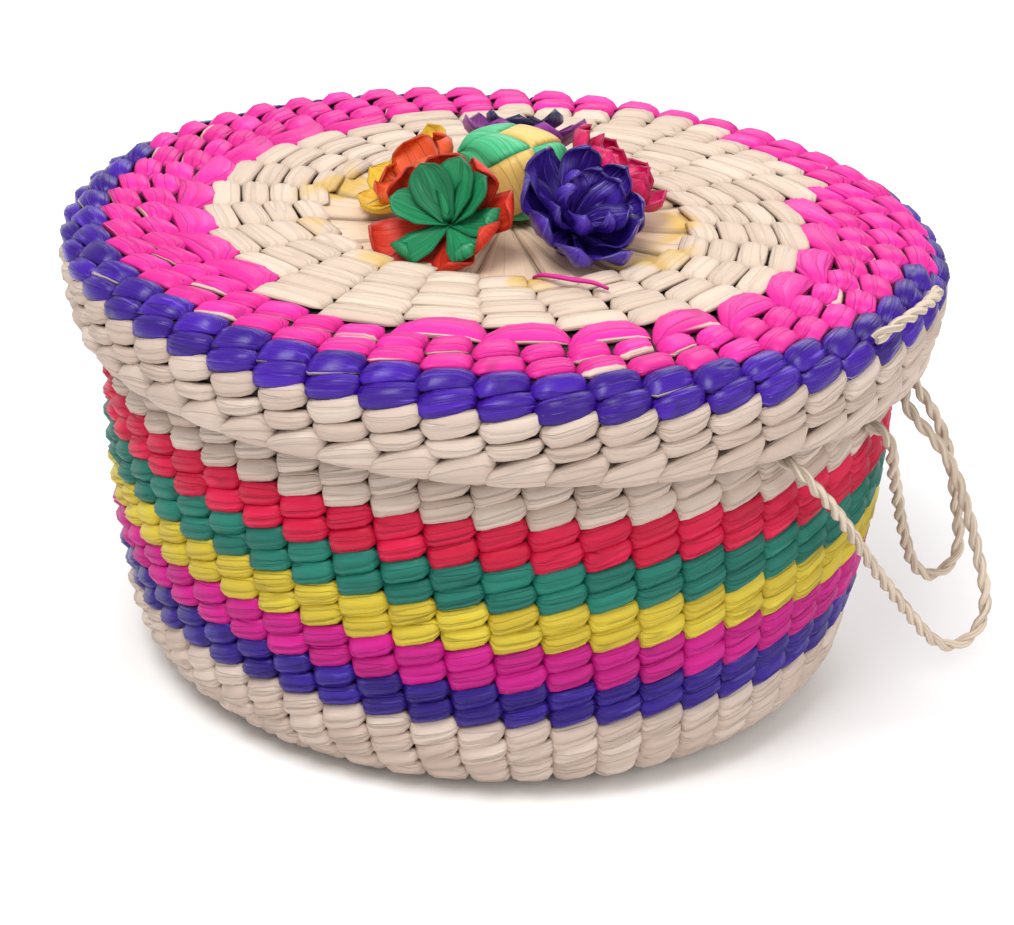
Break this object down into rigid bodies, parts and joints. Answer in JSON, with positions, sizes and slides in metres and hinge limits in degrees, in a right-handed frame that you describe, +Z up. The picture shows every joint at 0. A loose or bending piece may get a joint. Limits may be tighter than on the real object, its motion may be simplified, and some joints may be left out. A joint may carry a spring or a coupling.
{
  "type": "tortilla warmer",
  "caption": "Round woven palm basket with dyed bands, an overlapping lift-off lid topped with folded palm flowers, and a slack twisted cord that ties the lid to the wall.",
  "frame": {"origin": "middle of the underside, on the surface that the basket stands on", "axes": "+Z up along the axis of the basket and the lid; -Y towards the viewer, +X to the viewer's right, where the cord hangs"},
  "size_m": [0.2662, 0.2498, 0.158],
  "materials": {
    "natural_palm": "dried palm leaf, matt with a light fibre sheen",
    "purple_palm": "dyed palm leaf, satin",
    "magenta_palm": "dyed palm leaf, satin",
    "yellow_palm": "dyed palm leaf, satin",
    "green_palm": "dyed palm leaf, satin",
    "red_palm": "dyed palm leaf, satin",
    "pink_palm": "dyed palm leaf, satin",
    "leaf_green_strip": "thin dyed palm strip, satin",
    "scarlet_strip": "thin dyed palm strip, satin",
    "violet_strip": "thin dyed palm strip, satin with light streaks",
    "orange_strip": "thin dyed palm strip, satin",
    "gold_strip": "thin dyed palm strip, satin",
    "rose_strip": "thin dyed palm strip, satin",
    "plum_strip": "thin dyed palm strip, satin",
    "mint_strip": "thin dyed palm strip, satin",
    "cream_strip": "thin dyed palm strip, satin",
    "palm_cord": "twisted two-ply palm cord, matt"
  },
  "bodies": {
    "basket": {"base_hub": "natural_palm", "base_weft": "natural_palm", "basket_stakes": "natural_palm", "heel_weft": "natural_palm", "foot_weft": "natural_palm", "purple_band": "purple_palm", "magenta_band": "magenta_palm", "yellow_band": "yellow_palm", "green_band": "green_palm", "red_band": "red_palm", "shoulder_weft": "natural_palm", "collar_weft": "natural_palm", "basket_rim": "natural_palm", "tether_front": "palm_cord", "tether_back": "palm_cord"},
    "lid": {"lid_hub": "natural_palm", "lid_stakes": "natural_palm", "crown_weft": "natural_palm", "pink_band": "pink_palm", "lid_edge_band": "purple_palm", "skirt_weft": "natural_palm", "lid_rim": "natural_palm", "green_star": "leaf_green_strip", "red_petals": "scarlet_strip", "violet_petals": "violet_strip", "violet_heart": "violet_strip", "orange_petals": "orange_strip", "yellow_petals": "gold_strip", "magenta_petals": "rose_strip", "magenta_heart": "rose_strip", "purple_petals": "plum_strip", "purple_heart": "violet_strip", "woven_bead": "mint_strip", "bead_strips": "cream_strip", "tether_stitch": "palm_cord"}
  },
  "joints": [
    {"name": "lid_lift", "type": "slide", "parent": "basket", "child": "lid", "axis": [0, 0, 1], "range_m": [0, 0.09], "deforming": ["tether_front", "tether_back"]}
  ]
}
